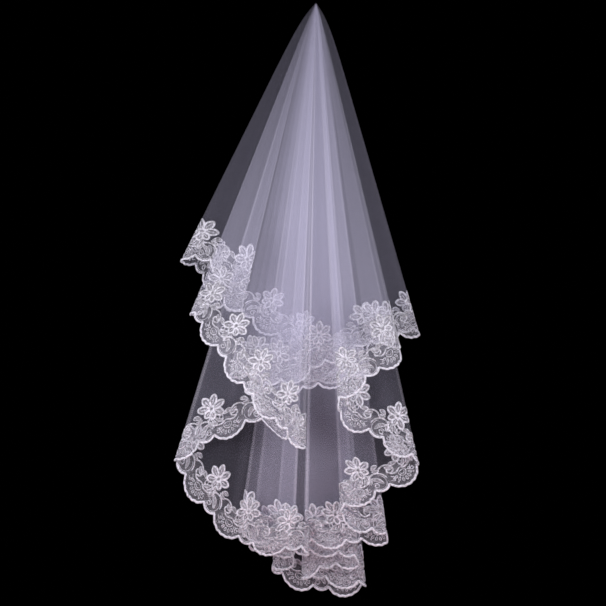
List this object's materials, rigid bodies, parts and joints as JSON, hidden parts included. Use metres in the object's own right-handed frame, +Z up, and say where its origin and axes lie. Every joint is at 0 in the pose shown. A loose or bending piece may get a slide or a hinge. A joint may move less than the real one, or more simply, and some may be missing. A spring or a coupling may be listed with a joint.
{
  "type": "lace bridal veil",
  "caption": "Lace bridal veil: an oval of sheer tulle gathered at one point, hanging from it in soft pleats, with a scalloped floral lace border along its whole edge.",
  "frame": {"origin": "the gathered point that the veil hangs from", "axes": "+Z up, opposite to the hang of the cloth; -Y towards the side seen in the picture; +X to its right"},
  "size_m": [0.3669, 0.4161, 0.8914],
  "materials": {
    "tulle": "sheer fine net",
    "lace": "matte embroidered lace"
  },
  "bodies": {
    "root": {"tulle_veil": "tulle", "lace_border": "lace"}
  },
  "joints": []
}
